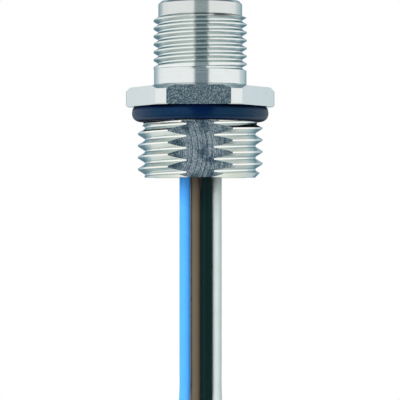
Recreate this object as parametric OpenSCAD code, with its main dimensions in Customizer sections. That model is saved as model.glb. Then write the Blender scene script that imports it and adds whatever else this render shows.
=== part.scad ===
// Panel-mount round plug: threaded plug side up, hex flange, panel thread and loose wires below.
// The origin is on the axis, on the flange's seating face. +Z points out of the plug side.

/* [Flange] */
// Size across the flats of the hex flange
hex_af = 17; // [16.5:0.1:18]
// Diameter that the hex corners are turned to
hex_turned_d = 18.9; // [18.2:0.1:20]
// Thickness of the flange
hex_h = 2.4; // [1.8:0.1:4]
// Chamfer on the upper corners
hex_chamfer = 0.45; // [0.2:0.05:0.8]
// Fine chamfer on the lower corners
hex_edge = 0.15; // [0.05:0.05:0.3]

/* [Plug side] */
// Outer diameter of the coupling thread
plug_thread_d = 11.9; // [11.8:0.02:11.96]
// Pitch of the coupling thread
plug_pitch = 1; // [0.75:0.25:1]
// Full turns of the coupling thread
plug_turns = 6; // [5:1:8]
// Diameter of the plain nose
nose_d = 10.7; // [10.5:0.05:10.7]
// Length of the plain nose above the thread
nose_len = 2.2; // [1.5:0.05:3]
// Chamfer round the nose's rim
nose_chamfer = 0.35; // [0.2:0.05:0.5]
// Diameter of the collar between thread and flange
collar_d = 11.8; // [11.4:0.05:11.8]
// Length of the collar
collar_len = 2.3; // [1.5:0.1:4]
// Bevel where the collar meets the flange
collar_bevel = 0.4; // [0.1:0.05:0.6]

/* [Panel side] */
// Outer diameter of the panel thread
panel_thread_d = 15.9; // [15.74:0.02:15.96]
// Pitch of the panel thread
panel_pitch = 1.5; // [1:0.25:1.5]
// Length from the flange's face to the rear end
panel_len = 9; // [8.6:0.1:14]
// Depth of the first crest of the panel thread below the flange
first_crest = 3.075; // [2.9:0.025:3.4]
// Chamfer at the rear end of the thread
end_chamfer = 0.95; // [0.5:0.05:1]
// Distance of the milled flat from the axis
flat_dist = 6.85; // [6.6:0.05:7.4]

/* [Panel seal] */
// Thickness of the seal ring
seal_section = 1.95; // [1.5:0.05:2]
// Outer diameter of the seal ring
seal_d = 17.4; // [17:0.1:17.6]
// Diameter of the neck between seal and thread
neck_d = 14.7; // [14.2:0.1:15]
// Length of the plain neck
neck_len = 0.2; // [0.1:0.05:0.4]

/* [Insert] */
// Bore of the plug side
plug_bore_d = 8.4; // [8.2:0.1:8.8]
// Bore of the rear side
rear_bore_d = 11.2; // [10.8:0.1:11.4]
// Depth of the insulator's face below the nose's rim
socket_depth = 8.8; // [8:0.1:9.2]
// Height of the carrier's seat above the flange's face
seat_z = 1.4; // [1:0.1:1.6]
// Thickness of the carrier's rim
carrier_rim = 1.6; // [1.2:0.1:2]
// Width of the coding key
key_w = 1.2; // [0.8:0.1:1.4]
// Depth of the coding key from the bore's wall
key_h = 0.7; // [0.5:0.1:0.9]
// Diameter of the contact circle
contact_circle = 5; // [4.8:0.1:5.2]
// Diameter of a contact pin
pin_d = 1; // [0.8:0.05:1]
// Chamfer on a pin's tip
pin_chamfer = 0.3; // [0.2:0.05:0.4]
// Depth of the pin's tip below the nose's rim
pin_tip_depth = 1.7; // [1.2:0.1:2.5]
// Outer diameter of a solder cup
cup_d = 1.4; // [1.3:0.05:1.6]
// Length of a solder cup behind the carrier
cup_len = 2; // [1.5:0.1:2.4]
// Depth of the potting's face inside the rear end
potting_sink = 0.4; // [0.2:0.1:1]

/* [Wires] */
// Outer diameter of a wire
wire_d = 1.4; // [1.2:0.05:1.4]
// Diameter of the bare strand
strand_d = 0.8; // [0.6:0.05:0.9]
// Length of each wire from the potting's face
wire_len = 500; // [400:10:600]
// Length of the bare end
bare_len = 6; // [3:0.5:7]
// Spacing of neighbouring wires and turns in the hank
lay_pitch = 1.5; // [1.45:0.05:1.6]
// Runs in the hank, an even number
hank_runs = 10; // [8:2:10]
// Radius of the tightest fold in the hank
fold_r = 4.4; // [4.2:0.1:5]

/* [Hank tie] */
// Width of the tie
tie_w = 2.5; // [1.8:0.1:3]
// Thickness of the tie's strap
tie_t = 1; // [0.8:0.1:1.4]
// Size of the tie's head along the strap
tie_head = 4.2; // [3.6:0.1:5]
// Width of the tie's head
tie_head_w = 4; // [3:0.1:5]
// Thickness of the tie's head
tie_head_t = 3; // [2.4:0.1:3.6]
// Length of the cut tail that stands out of the head
tie_tail = 1.2; // [0.6:0.1:3]
// Width of the tail
tie_tail_w = 1.75; // [1.4:0.05:2]

/* [Hidden] */
$fn = 96;

// Cuts run past the faces they open by this much.
past = 1;

// Heights along the axis
collar_top = hex_h + collar_len;
thread_top = collar_top + (plug_turns + 0.5) * plug_pitch;
rim_z = thread_top + nose_len;
face_z = rim_z - socket_depth;
tip_z = rim_z - pin_tip_depth;
carrier_rear = seat_z - carrier_rim;
cup_end = carrier_rear - cup_len;
potting_face = potting_sink - panel_len;

// Thread form: groove depth and land as shares of the pitch
groove_depth = 0.6;
thread_land = 0.125;
panel_grooves = ceil((panel_len - first_crest) / panel_pitch);

// Seal ring: it lies against the flange and round the bottom of its groove
seal_r = seal_section / 2;
seal_mid = seal_d / 2 - seal_r;
groove_r = seal_mid - seal_r;

// Contact places on the circle, numbered as seen on the plug's face
contact_angle = [-45, 45, 135, 225];

// Wire facts by colour: contact number, row place below the rear end, place in the hank's width
BLUE = [3, [-1.95, -0.1], -1.5];
BROWN = [1, [-0.55, 0.25], -0.5];
BLACK = [4, [0.8, -0.25], 0.5];
WHITE = [2, [2.05, 0.4], 1.5];

// Inner routes from the cups to the row, hand laid so that black passes in front of brown
blue_bend = [
    [-1.8, 1.7, -3], [-1.85, 1.4, -4], [-1.9, 0.95, -5], [-1.9, 0.5, -6], [-1.95, 0.15, -7.2],
    [-1.95, -0.05, -8.6]
];
brown_bend = [
    [1.65, -1.6, -3], [1.2, -1.05, -4], [0.5, -0.4, -5], [-0.1, 0.05, -6], [-0.45, 0.2, -7.2],
    [-0.55, 0.25, -8.6]
];
black_bend = [
    [-1.65, -1.85, -3], [-1.2, -1.95, -4], [-0.5, -1.95, -5], [0.15, -1.85, -6], [0.6, -1.6, -7.2],
    [0.8, -1.2, -8.6]
];
white_bend = [
    [1.8, 1.7, -3], [1.85, 1.55, -4], [1.9, 1.3, -5], [1.95, 1, -6], [2, 0.7, -7.2],
    [2.05, 0.5, -8.6]
];

// Heights between which the wires hang straight
hang_z = [-13, -36];

// Where the innermost run ends and how far the eyes of the hank reach towards the waist
end_s = 0.45;
eye_s = 0.3;

// Hank: runs lie outward from the innermost fold, half a pitch further at each fold
run_step = lay_pitch / 2;
inner_run = fold_r - run_step / 2;
function run_place(j) = inner_run + (hank_runs - 1 - j) * run_step;
function fold_radius(j) = run_place(j) - run_step / 2;
function fold_centre(j) = (j % 2 == 0 ? 1 : -1) * run_step / 2;

// Shared route [y, z] from the row over the top of the hank, with a small gap, to its outermost run
lead_z = -41;
lead_drop = 4.4;
over_gap = 0.08;
over_r = fold_radius(1) + lay_pitch + over_gap;
hank_top = lead_z - lead_drop - over_r;
over_hank = concat(
    [[0, lead_z], [0.7, lead_z - 2.1], [2.2, lead_z - 3.9]],
    [for (a = [65, 50, 36, 23, 11])
        [fold_centre(1) + over_r * cos(a), hank_top + over_r * sin(a)]]
);

// Length of the runs: what the lead and the folds leave of the wire
fold_len = PI * sum_list([for (j = [0:hank_runs - 2]) fold_radius(j)]);
lead_len = route_len(concat([[0, potting_face]], over_hank, [[run_place(0), hank_top]]));
run_len = (wire_len - lead_len - fold_len) / (hank_runs - (1 - end_s) / 2);
hank_bottom = hank_top - run_len;
hank_w = 4 * lay_pitch;

// The tie pulls the runs together: full pull over a short waist, none at the folds
pull = inner_run + run_step / 2 - lay_pitch / 2;
waist = 0.12;
function pulled(s) = pull * (1 + cos(180 * max(0, abs(s) - waist) / (1 - waist))) / 2;
function run_z(s) = (hank_top + hank_bottom) / 2 + s * run_len / 2;
function run_side(place, s) = [place - sign(place) * pulled(s), run_z(s)];

function sum_list(v, i = 0) = i < len(v) ? v[i] + sum_list(v, i + 1) : 0;
function route_len(p) = sum_list([for (i = [1:len(p) - 1]) norm(p[i] - p[i - 1])]);
function unit(v) = v / norm(v);
function contact_place(n) = let (a = contact_angle[n - 1]) contact_circle / 2 * [cos(a), sin(a)];
function hank_x(wire) = wire[2] * lay_pitch;
function wire_route(wire, bend) = let (c = contact_place(wire[0]), row = wire[1]) concat(
    [[c[0], c[1], cup_end]],
    bend,
    [for (z = hang_z) [row[0], row[1], z]],
    [for (p = over_hank) [hank_x(wire), p[0], p[1]]],
    [[hank_x(wire), run_place(0), hank_top]]
);

// Direction of a route at point i: straight down at both ends
function heading(p, i) =
    i == 0 || i == len(p) - 1 ? [0, 0, -1] : unit(p[i + 1] - p[i - 1]);
// One ring of the swept wire, square to its heading
function ring(centre, along, sides) = let (
    across = unit([1, 0, 0] - along[0] * along),
    third = cross(along, across)
) [for (k = [0:sides - 1]) let (a = 360 * (k + 0.5) / sides)
    centre + wire_d / 2 * (cos(a) * across + sin(a) * third)];

// A tube along a route, as one closed skin
module swept_tube(route, sides = 8) {
    rings = len(route);
    points = [for (i = [0:rings - 1]) each ring(route[i], heading(route, i), sides)];
    walls = [for (i = [0:rings - 2]) for (k = [0:sides - 1]) let (n = (k + 1) % sides)
        [i * sides + k, (i + 1) * sides + k, (i + 1) * sides + n, i * sides + n]];
    start_cap = [for (k = [0:sides - 1]) k];
    end_cap = [for (k = [sides - 1:-1:0]) (rings - 1) * sides + k];
    polyhedron(points, concat([start_cap], walls, [end_cap]), convexity = 6);
}

// One insulated wire from its cup to the hank
module wire(facts, bend, tone) {
    color(tone) swept_tube(wire_route(facts, bend));
}

// One V groove of a thread, cut at height z into a crest of radius r
module thread_groove(r, pitch, z) {
    half_mouth = pitch * (1 - thread_land) / 2;
    half_root = pitch * thread_land / 2;
    root = r - groove_depth * pitch;
    rotate_extrude() polygon([
        [root, z - half_root],
        [r + past, z - half_mouth - past * (half_mouth - half_root) / (r - root)],
        [r + past, z + half_mouth + past * (half_mouth - half_root) / (r - root)],
        [root, z + half_root]
    ]);
}

// Turned blank of the housing, without the hex
module turned_blank() {
    plug_r = plug_thread_d / 2;
    panel_r = panel_thread_d / 2;
    neck_z = -seal_section - neck_len;
    rotate_extrude() polygon([
        [0, -panel_len],
        [panel_r - end_chamfer, -panel_len],
        [panel_r, -panel_len + end_chamfer],
        [panel_r, neck_z - (panel_r - neck_d / 2)],
        [neck_d / 2, neck_z],
        [neck_d / 2, -seal_section],
        [groove_r, -seal_section],
        [groove_r, 0],
        [collar_d / 2 - collar_bevel, 0],
        [collar_d / 2 - collar_bevel, hex_h],
        [collar_d / 2, hex_h + collar_bevel],
        [collar_d / 2, collar_top],
        [plug_r, collar_top],
        [plug_r, thread_top],
        [nose_d / 2, thread_top],
        [nose_d / 2, rim_z - nose_chamfer],
        [nose_d / 2 - nose_chamfer, rim_z],
        [0, rim_z]
    ]);
}

// Hex flange with its corners turned off and chamfered
module hex_flange() {
    r = hex_turned_d / 2;
    intersection() {
        cylinder(d = hex_af / cos(30), h = hex_h, $fn = 6);
        rotate_extrude() polygon([
            [0, 0],
            [r - hex_edge, 0],
            [r, hex_edge],
            [r, hex_h - hex_chamfer],
            [r - hex_chamfer, hex_h],
            [0, hex_h]
        ]);
    }
}

module housing() {
    color("gainsboro") difference() {
        union() {
            turned_blank();
            hex_flange();
        }
        for (k = [0:plug_turns])
            thread_groove(plug_thread_d / 2, plug_pitch, collar_top + (k + 0.5) * plug_pitch);
        for (k = [0:panel_grooves - 1])
            thread_groove(panel_thread_d / 2, panel_pitch, -first_crest - (k + 0.5) * panel_pitch);
        // Milled flat on the panel thread
        translate([-panel_thread_d, -flat_dist - panel_thread_d, -panel_len - past])
            cube([2 * panel_thread_d, panel_thread_d, panel_len + past - seal_section]);
        // Plug bore and rear bore
        cylinder(d = plug_bore_d, h = rim_z + past);
        translate([0, 0, -panel_len - past])
            cylinder(d = rear_bore_d, h = panel_len + past + seat_z);
    }
}

module panel_seal() {
    color("midnightblue") translate([0, 0, -seal_r])
        rotate_extrude() translate([seal_mid, 0]) circle(r = seal_r, $fn = 48);
}

// Outer form of a contact: pin, retaining collar and solder cup, without the cup's hole
module contact_form() {
    pin_r = pin_d / 2;
    cup_r = cup_d / 2;
    rotate_extrude($fn = 32) polygon([
        [0, cup_end],
        [cup_r, cup_end],
        [cup_r, seat_z],
        [pin_r, seat_z],
        [pin_r, tip_z - pin_chamfer],
        [pin_r - pin_chamfer, tip_z],
        [0, tip_z]
    ]);
}

module contact(n) {
    p = contact_place(n);
    color("gold") translate([p[0], p[1], 0]) difference() {
        contact_form();
        translate([0, 0, cup_end - past])
            cylinder(d = strand_d, h = cup_len + past, $fn = 32);
    }
}

module contact_carrier() {
    bore_r = plug_bore_d / 2;
    key_top = tip_z;
    color("dimgray") difference() {
        union() {
            translate([0, 0, carrier_rear]) cylinder(d = rear_bore_d, h = carrier_rim);
            translate([0, 0, carrier_rear]) cylinder(r = bore_r, h = face_z - carrier_rear);
            // Coding key, a rib along the plug bore's wall
            intersection() {
                translate([0, 0, carrier_rear]) cylinder(r = bore_r, h = key_top - carrier_rear);
                translate([bore_r - key_h, -key_w / 2, seat_z]) cube([bore_r, key_w, rim_z]);
            }
        }
        for (n = [1:4]) {
            p = contact_place(n);
            translate([p[0], p[1], 0]) contact_form();
        }
    }
}

module potting() {
    color("darkslategray") difference() {
        translate([0, 0, potting_face]) cylinder(d = rear_bore_d, h = carrier_rear - potting_face);
        for (n = [1:4]) {
            p = contact_place(n);
            translate([p[0], p[1], 0]) contact_form();
        }
        swept_tube(wire_route(BLUE, blue_bend));
        swept_tube(wire_route(BROWN, brown_bend));
        swept_tube(wire_route(BLACK, black_bend));
        swept_tube(wire_route(WHITE, white_bend));
    }
}

// Both bare ends of a strand: soldered in its cup, and stripped at the free end in the hank's eye
module conductor(wire) {
    p = contact_place(wire[0]);
    color("silver") {
        translate([p[0], p[1], cup_end]) cylinder(d = strand_d, h = cup_len, $fn = 32);
        free_end = run_side(-run_place(hank_runs - 1), end_s);
        translate([hank_x(wire), free_end[0], free_end[1]])
            cylinder(d = strand_d, h = bare_len, $fn = 32);
    }
}

// Points of a run's side, at a place across the hank, from one height share to another
function side_points(place, s0, s1, n = 20) =
    [for (i = [0:n]) run_side(place, s0 + (s1 - s0) * i / n)];
// Points of a fold's arc
function fold_points(centre, z, r, a0, a1, n = 16) =
    [for (i = [0:n]) let (a = a0 + (a1 - a0) * i / n) [centre + r * cos(a), z + r * sin(a)]];

// Outline of the hank across its width: outer runs, outer folds and the ledge where the wires enter
function hank_outline() = let (half = wire_d / 2) concat(
    side_points(run_place(0) + half, 1, -1),
    fold_points(fold_centre(0), hank_bottom, fold_radius(0) + half, 0, -180),
    side_points(-run_place(1) - half, -1, 1),
    fold_points(fold_centre(1), hank_top, fold_radius(1) + half, 180, 0)
);
// Open eye under the lower folds
function lower_eye() = let (half = wire_d / 2, last = hank_runs - 2) concat(
    side_points(run_place(last) - half, -eye_s, -1),
    fold_points(fold_centre(last), hank_bottom, fold_radius(last) - half, 0, -180),
    side_points(half - run_place(last + 1), -1, -eye_s)
);
// Open eye in the upper folds, with the ledge on which the innermost run ends
function upper_eye() = let (half = wire_d / 2, last = hank_runs - 3) concat(
    side_points(half - run_place(hank_runs - 1), eye_s, end_s),
    side_points(half - run_place(last), end_s, 1),
    fold_points(fold_centre(last), hank_top, fold_radius(last) - half, 180, 0),
    side_points(run_place(last + 1) - half, 1, eye_s)
);

module wire_hank() {
    color("slategray") rotate([90, 0, 90]) translate([0, 0, -hank_w / 2])
        linear_extrude(hank_w) difference() {
            polygon(hank_outline());
            polygon(lower_eye());
            polygon(upper_eye());
        }
}

// Outline of a rectangle with round corners, by its corner points
module round_corners(low, high, r) {
    translate([low[0] + r, low[1]]) square([high[0] - low[0] - 2 * r, high[1] - low[1]]);
    translate([low[0], low[1] + r]) square([high[0] - low[0], high[1] - low[1] - 2 * r]);
    for (x = [low[0] + r, high[0] - r])
        for (y = [low[1] + r, high[1] - r])
            translate([x, y]) circle(r = r, $fn = 32);
}

module hank_tie() {
    right = run_side(run_place(0) + wire_d / 2, 0)[0];
    left = run_side(-run_place(1) - wire_d / 2, 0)[0];
    side = hank_w / 2;
    middle = (right + left) / 2;
    color("black") translate([0, 0, run_z(0) - tie_w / 2]) {
        linear_extrude(tie_w) difference() {
            round_corners([-side - tie_t, left - tie_t], [side + tie_t, right + tie_t], tie_t);
            translate([-side, left]) square([2 * side, right - left]);
        }
        // Head with the locked strap's cut tail
        translate([side, middle - tie_head / 2, (tie_w - tie_head_w) / 2])
            cube([tie_head_t, tie_head, tie_head_w]);
        translate([side + tie_head_t / 2, middle, (tie_w - tie_tail_w) / 2])
            cube([tie_t, tie_head / 2 + tie_tail, tie_tail_w]);
    }
}

housing();
panel_seal();
contact_carrier();
contact(1);  // contact_1
contact(2);  // contact_2
contact(3);  // contact_3
contact(4);  // contact_4
potting();
wire(BLUE, blue_bend, "royalblue");  // wire_blue
wire(BROWN, brown_bend, "sienna");  // wire_brown
wire(BLACK, black_bend, "black");  // wire_black
wire(WHITE, white_bend, "white");  // wire_white
conductor(BLUE);  // blue_conductor
conductor(BROWN);  // brown_conductor
conductor(BLACK);  // black_conductor
conductor(WHITE);  // white_conductor
wire_hank();
hank_tie();
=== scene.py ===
"""Looks of a panel-mount round plug: turned housing, seal ring, pin insert and four loose wires."""

import math
from contextlib import contextmanager
from typing import NamedTuple

import bmesh
import bpy
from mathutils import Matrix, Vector


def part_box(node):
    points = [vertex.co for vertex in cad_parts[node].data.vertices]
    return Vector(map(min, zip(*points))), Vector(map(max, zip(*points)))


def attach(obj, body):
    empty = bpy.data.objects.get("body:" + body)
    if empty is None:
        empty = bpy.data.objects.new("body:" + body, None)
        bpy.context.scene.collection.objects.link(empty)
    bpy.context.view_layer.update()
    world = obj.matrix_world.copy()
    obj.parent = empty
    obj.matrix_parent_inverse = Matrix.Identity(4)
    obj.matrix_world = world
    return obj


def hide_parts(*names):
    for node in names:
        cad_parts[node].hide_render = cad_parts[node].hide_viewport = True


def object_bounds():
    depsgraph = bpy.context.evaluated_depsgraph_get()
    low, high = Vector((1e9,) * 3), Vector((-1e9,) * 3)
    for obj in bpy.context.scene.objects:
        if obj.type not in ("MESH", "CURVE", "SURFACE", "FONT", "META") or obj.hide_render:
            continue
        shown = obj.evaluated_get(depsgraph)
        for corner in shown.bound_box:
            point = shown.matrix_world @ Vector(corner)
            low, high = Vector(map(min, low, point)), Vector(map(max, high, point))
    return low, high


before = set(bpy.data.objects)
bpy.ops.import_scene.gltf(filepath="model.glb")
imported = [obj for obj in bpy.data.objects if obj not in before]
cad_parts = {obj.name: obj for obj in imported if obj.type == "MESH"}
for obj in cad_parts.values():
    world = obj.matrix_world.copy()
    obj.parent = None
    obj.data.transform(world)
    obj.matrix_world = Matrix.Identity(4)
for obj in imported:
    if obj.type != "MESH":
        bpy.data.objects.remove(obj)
CAD_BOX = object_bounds()

bl_info = {
    "name": "Panel-Mount Round Plug",
    "version": (1, 0, 0),
    "blender": (4, 5, 0),
    "location": "View3D > Sidebar > Plug",
    "description": "Models a panel-mount round plug with its loose wires on the packed frame",
    "category": "Add Mesh",
}

MM = 0.001
BODY = "root"

# Points closer than this are merged.
MERGE = 0.001 * MM
# Thread tools reach past the crests by this much.
PAST = 0.4 * MM
# Steps round a turned piece, shared by the threads so that their edges meet
TURN_STEPS = 192
SMOOTH_ANGLE = math.radians(30)

HOUSING_LOW, HOUSING_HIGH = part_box("housing")
SEAL_LOW, SEAL_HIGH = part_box("panel_seal")
CONTACT_LOW, CONTACT_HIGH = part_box("contact_1")
TIE_LOW, TIE_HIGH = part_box("hank_tie")


# Properties

def size_property(name, description, metres):
    """A length that a user can change."""
    return bpy.props.FloatProperty(
        name=name, description=description, default=metres, min=0, precision=5, unit="LENGTH"
    )


def power_property(name, description, watts):
    """A lamp's power that a user can change."""
    return bpy.props.FloatProperty(name=name, description=description, default=watts, unit="POWER")


def colour_property(name, description, colour):
    """A colour that a user can change."""
    return bpy.props.FloatVectorProperty(
        name=name, description=description, default=colour, size=3, min=0, max=1, subtype="COLOR"
    )


class PlugHousingSizes(bpy.types.PropertyGroup):
    """Sizes of the turned housing."""

    hex_flats: size_property("Across Flats", "Size across the flats of the hex flange", 17 * MM)
    hex_turned: size_property(
        "Turned Corners", "Diameter that the hex corners are turned to", 2 * HOUSING_HIGH.x
    )
    hex_turn: bpy.props.FloatProperty(
        name="Flange Turn",
        description="Angle between the hex and the milled flat",
        default=math.radians(-1.3),
        subtype="ANGLE",
    )
    hex_height: size_property("Flange Height", "Thickness of the hex flange", 2.4 * MM)
    hex_chamfer: size_property("Flange Chamfer", "Chamfer on the upper corners", 0.45 * MM)
    hex_edge: size_property("Flange Edge", "Fine chamfer on the lower corners", 0.15 * MM)
    edge_break: size_property("Edge Break", "Width broken off beside the flats", 0.13 * MM)
    plug_thread: size_property("Coupling Thread", "Outer diameter on the plug side", 11.9 * MM)
    plug_pitch: size_property("Coupling Pitch", "Pitch of the coupling thread", 1.0 * MM)
    plug_root: size_property(
        "Coupling Root", "Height of the coupling thread's root on the right side", 4.95 * MM
    )
    nose: size_property("Nose", "Diameter of the plain nose", 10.7 * MM)
    nose_chamfer: size_property("Nose Chamfer", "Chamfer round the rim", 0.35 * MM)
    collar: size_property("Collar", "Diameter of the plain collar", 11.8 * MM)
    collar_top: size_property("Collar Top", "Height of the collar's upper end", 4.75 * MM)
    collar_bevel: size_property("Collar Bevel", "Bevel where collar and flange meet", 0.4 * MM)
    panel_thread: size_property("Panel Thread", "Outer diameter on the panel side", 15.9 * MM)
    panel_pitch: size_property("Panel Pitch", "Pitch of the panel thread", 1.5 * MM)
    panel_root: size_property(
        "Panel Root", "Depth of the panel thread's first root on the right side", 3.45 * MM
    )
    end_chamfer: size_property("End Chamfer", "Chamfer at the rear end", 0.95 * MM)
    neck: size_property("Neck", "Diameter of the relief under the seal", 14.5 * MM)
    neck_end: size_property("Neck End", "Depth where the panel thread begins", 2.62 * MM)
    flat: size_property("Milled Flat", "Distance of the milled flat from the axis", 6.85 * MM)
    plug_bore: size_property("Plug Bore", "Bore of the plug side", 8.4 * MM)
    rear_bore: size_property("Rear Bore", "Bore of the rear side", 11.2 * MM)
    seat: size_property("Seat", "Height of the carrier's seat", 1.4 * MM)
    bore_edge: size_property("Bore Edge", "Chamfer at the mouths of both bores", 0.2 * MM)


class PlugInsertSizes(bpy.types.PropertyGroup):
    """Sizes of the seal ring, the carrier, the contacts and the potting."""

    seal_section: size_property(
        "Seal Section", "Thickness of the seal ring", SEAL_HIGH.z - SEAL_LOW.z
    )
    seal: size_property("Seal", "Outer diameter of the seal ring", 2 * SEAL_HIGH.x)
    seal_flash: size_property("Seal Flash", "Height of the moulding line", 0.02 * MM)
    face: size_property("Insert Face", "Height of the insulator's face", 4.6 * MM)
    rear: size_property("Insert Rear", "Depth of the carrier's rear face", 0.2 * MM)
    key_width: size_property("Key Width", "Width of the coding key", 1.2 * MM)
    key_depth: size_property("Key Depth", "Depth of the coding key", 0.7 * MM)
    contact_circle: size_property("Contact Circle", "Diameter of the contact circle", 5 * MM)
    pin: size_property("Pin", "Diameter of a contact pin", 1 * MM)
    pin_tip: size_property("Pin Tip", "Height of the pins' tips", CONTACT_HIGH.z)
    cup: size_property("Solder Cup", "Outer diameter of a solder cup", 1.4 * MM)
    cup_end: size_property("Cup End", "Depth of the solder cups' ends", -CONTACT_LOW.z)
    potting_sink: size_property("Potting Sink", "Depth of the resin inside the rear end", 0.4 * MM)
    meniscus: size_property("Meniscus", "Height that the resin creeps up walls", 0.2 * MM)


class PlugWireSizes(bpy.types.PropertyGroup):
    """Sizes of the wires, their bare ends and the tie."""

    wire: size_property("Wire", "Outer diameter of a wire", 1.4 * MM)
    strand: size_property("Strand", "Diameter of the bare strand", 0.8 * MM)
    wire_length: size_property("Wire Length", "Length of each wire", 500 * MM)
    bare_length: size_property("Bare Length", "Length of the bare end", 6 * MM)
    lay_pitch: size_property("Lay Pitch", "Spacing of wires and runs in the hank", 1.5 * MM)
    fold: size_property("Fold", "Radius of the tightest fold in the hank", 4.4 * MM)
    hank_runs: bpy.props.IntProperty(
        name="Hank Runs", description="Runs in the hank, an even number", default=10, min=8, max=10
    )
    tie_width: size_property("Tie Width", "Width of the tie's strap", 2.5 * MM)
    tie_thickness: size_property("Tie Thickness", "Thickness of the tie's strap", 1 * MM)
    tie_head: size_property("Tie Head", "Size of the tie's head along the strap", 4.2 * MM)


class PlugColours(bpy.types.PropertyGroup):
    """Colours of the finishes."""

    nickel: colour_property("Nickel", "Bright nickel plate", (0.785, 0.825, 0.82))
    # Painted light: the coupling side and the panel side get lighter tones of the one nickel plate, the
    # panel side the lightest and most cream-coloured
    coupling_painted_light: colour_property("Dull Nickel", "Plate of the coupling thread", (0.83, 0.865, 0.845))
    panel_painted_light: colour_property("Warm Nickel", "Plate of the panel thread", (0.93, 0.945, 0.91))
    seal: colour_property("Seal Rubber", "Dark blue seal ring", (0.0006, 0.0065, 0.04))
    moulding: colour_property("Moulding", "Black insulator", (0.02, 0.02, 0.021))
    gold: colour_property("Gold", "Plate of the contacts", (0.86, 0.60, 0.22))
    resin: colour_property("Resin", "Cast potting", (0.012, 0.012, 0.013))
    blue: colour_property("Blue", "Blue insulation", (0.088, 0.41, 1.0))
    brown: colour_property("Brown", "Brown insulation", (0.13, 0.105, 0.075))
    black: colour_property("Black", "Black insulation", (0.004, 0.016, 0.016))
    white: colour_property("White", "White insulation", (0.55, 0.635, 0.625))
    tin: colour_property("Tin", "Tinned strand", (0.62, 0.62, 0.60))
    nylon: colour_property("Nylon", "Tie", (0.016, 0.016, 0.017))


class PlugStageSettings(bpy.types.PropertyGroup):
    """Camera and light."""

    camera_distance: size_property("Camera Distance", "From the plug's axis", 0.25)
    camera_drop: size_property("Camera Drop", "Camera's depth below the flange", 11.84 * MM)
    lens: bpy.props.FloatProperty(
        name="Lens", description="Focal length of the camera", default=176.6, unit="CAMERA"
    )
    key_power: power_property("Key Power", "Power of the left lamp", 1.8)
    fill_power: power_property("Fill Power", "Power of the right lamp", 0.5)
    top_power: power_property("Top Power", "Power of the upper lamp", 0.4)
    sky: colour_property("Sky", "Light from all round", (0.2, 0.2, 0.2))


# Shader tools

class Socket:
    """A node's output. Arithmetic on it adds Math nodes to its shader."""

    def __init__(self, shader, output):
        self.shader = shader
        self.output = output

    def __add__(self, other):
        return self.shader.maths("ADD", self, other)

    def __sub__(self, other):
        return self.shader.maths("SUBTRACT", self, other)

    def __rsub__(self, other):
        return self.shader.maths("SUBTRACT", other, self)

    def __mul__(self, other):
        return self.shader.maths("MULTIPLY", self, other)

    def __truediv__(self, other):
        return self.shader.maths("DIVIDE", self, other)

    def __rtruediv__(self, other):
        return self.shader.maths("DIVIDE", other, self)

    __radd__ = __add__
    __rmul__ = __mul__


class Shader:
    """A node tree that nodes are added to. Colours are given as red, green and blue."""

    def __init__(self, tree):
        self.tree = tree
        tree.nodes.clear()

    def add(self, kind, settings=None, sockets=None, out=0):
        """Adds a node, makes its settings, fills its sockets and returns one of its outputs."""
        node = self.tree.nodes.new(kind)
        for name, value in (settings or {}).items():
            setattr(node, name, value)
        for name, value in (sockets or {}).items():
            socket = node.inputs[name]
            if isinstance(value, Socket):
                self.tree.links.new(value.output, socket)
            else:
                socket.default_value = (*value, 1.0) if socket.type == "RGBA" else value
        return Socket(self, node.outputs[out]) if len(node.outputs) else None

    def outputs(self, kind, sockets=None):
        """Adds a node and returns all of its outputs by name."""
        node = self.add(kind, {}, sockets).output.node
        return {output.name: Socket(self, output) for output in node.outputs}

    def maths(self, operation, *values):
        """A Math node on its values."""
        return self.add("ShaderNodeMath", {"operation": operation}, dict(enumerate(values)))

    def blend(self, share, first, second):
        """Mixes two colours."""
        return self.add(
            "ShaderNodeMix", {"data_type": "RGBA"}, {0: share, 6: first, 7: second}, out=2
        )

    def layered(self, tone, *layers):
        """Lays colours over a tone, each one by its own mask."""
        for mask, colour in layers:
            tone = self.blend(mask, tone, colour)
        return tone

    def mottled(self, share, colour, low, high):
        """A colour that goes from a low to a high level of brightness."""
        return self.blend(share, [part * low for part in colour], [part * high for part in colour])

    def shade(self, colour, level):
        """A colour at a level of brightness."""
        return self.add(
            "ShaderNodeVectorMath", {"operation": "SCALE"}, {"Vector": colour, "Scale": level}
        )

    def ease(self, value, low, high, start=0.0, end=1.0):
        """Goes smoothly from start to end while the value goes from low to high."""
        return self.add(
            "ShaderNodeMapRange",
            {"interpolation_type": "SMOOTHSTEP"},
            {0: value, 1: low, 2: high, 3: start, 4: end},
        )

    def between(self, value, low, high, edge):
        """Mask of 1 between two values, with edges of that width inside them."""
        return self.ease(value, low, low + edge) * self.ease(value, high - edge, high, 1.0, 0.0)

    def axes(self, vector):
        """The three parts of a vector."""
        return self.outputs("ShaderNodeSeparateXYZ", {0: vector}).values()

    def noise(self, vector, grain, detail=2.0):
        """Noise whose grains are about that wide, in metres."""
        return self.add(
            "ShaderNodeTexNoise", {}, {"Vector": vector, "Scale": 1 / grain, "Detail": detail}
        )

    def line_noise(self, value, grain, detail=2.0):
        """Noise along one direction only."""
        return self.add(
            "ShaderNodeTexNoise",
            {"noise_dimensions": "1D"},
            {"W": value, "Scale": 1 / grain, "Detail": detail},
        )

    def stretched(self, vector, scale):
        """A vector scaled along each axis."""
        return self.add("ShaderNodeMapping", {}, {"Vector": vector, "Scale": scale})

    def bump(self, height, depth):
        """A surface normal from a height of 0 to 1 that stands for that depth in metres."""
        return self.add("ShaderNodeBump", {}, {"Height": height, "Strength": 1.0, "Distance": depth})


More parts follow.
